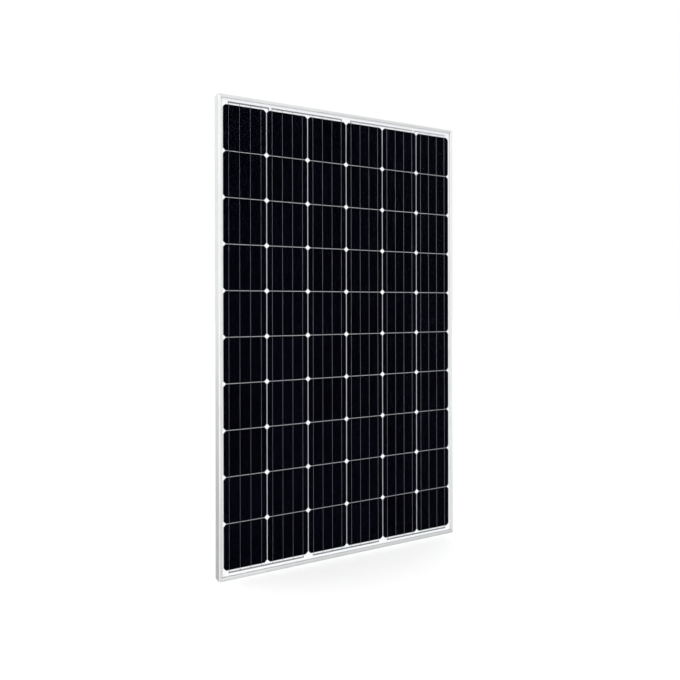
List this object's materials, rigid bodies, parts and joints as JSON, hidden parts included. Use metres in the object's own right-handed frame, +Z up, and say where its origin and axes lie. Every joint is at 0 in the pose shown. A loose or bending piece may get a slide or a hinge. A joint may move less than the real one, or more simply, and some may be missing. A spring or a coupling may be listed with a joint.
{
  "type": "solar panel",
  "caption": "Framed crystalline solar panel: dark wafer cells under glass in a silver aluminium frame, with a lidded junction box on the back.",
  "frame": {"origin": "middle of the bottom side, half way through the frame's depth", "axes": "+Z up the long side towards the junction box, +Y out of the back, -Y out of the glass, X along the short side"},
  "size_m": [0.992, 0.04, 1.65],
  "materials": {
    "anodised_aluminium": "clear anodised, satin",
    "cast_aluminium": "as cast",
    "edge_foam": "matt white adhesive foam",
    "solar_glass": "smooth, low in iron, with an antireflective coating",
    "encapsulant": "clear",
    "silicon_cell": "near-black antireflective coating with silver ribbons",
    "tinned_copper": "tinned",
    "white_film": "satin white film",
    "black_plastic": "fine moulded grain",
    "black_rubber": "matt",
    "steel_pin": "drawn",
    "brass": "stamped and tinned",
    "diode_body": "moulded"
  },
  "bodies": {
    "panel": {"frame_rail_left": "anodised_aluminium", "edge_seal_left": "edge_foam", "frame_rail_top": "anodised_aluminium", "edge_seal_top": "edge_foam", "frame_rail_right": "anodised_aluminium", "edge_seal_right": "edge_foam", "frame_rail_bottom": "anodised_aluminium", "edge_seal_bottom": "edge_foam", "corner_key_bottom_left": "cast_aluminium", "corner_key_top_left": "cast_aluminium", "corner_key_top_right": "cast_aluminium", "corner_key_bottom_right": "cast_aluminium", "front_glass": "solar_glass", "front_encapsulant": "encapsulant", "cell_string_1": "silicon_cell", "cell_string_2": "silicon_cell", "cell_string_3": "silicon_cell", "cell_string_4": "silicon_cell", "cell_string_5": "silicon_cell", "cell_string_6": "silicon_cell", "bus_ribbon_top_1": "tinned_copper", "bus_ribbon_top_2": "tinned_copper", "bus_ribbon_top_3": "tinned_copper", "bus_ribbon_top_4": "tinned_copper", "bus_ribbon_bottom_1": "tinned_copper", "bus_ribbon_bottom_2": "tinned_copper", "bus_ribbon_bottom_3": "tinned_copper", "insulation_strip": "white_film", "rear_encapsulant": "encapsulant", "backsheet": "white_film", "junction_box_pad": "edge_foam", "junction_box_base": "black_plastic", "hinge_pin_left": "steel_pin", "hinge_pin_right": "steel_pin", "terminal_1": "brass", "terminal_2": "brass", "terminal_3": "brass", "terminal_4": "brass", "bypass_diode_1": "diode_body", "bypass_diode_2": "diode_body", "bypass_diode_3": "diode_body", "gland_body_left": "black_plastic", "gland_nut_left": "black_plastic", "gland_seal_left": "black_rubber", "gland_body_right": "black_plastic", "gland_nut_right": "black_plastic", "gland_seal_right": "black_rubber"},
    "lid": {"junction_box_lid": "black_plastic", "lid_gasket": "black_rubber"}
  },
  "joints": [
    {"name": "lid_hinge", "type": "hinge", "parent": "panel", "child": "lid", "pos_m": [0, 0.00966, 1.58775], "axis": [1, 0, 0], "range_deg": [0, 110]}
  ]
}
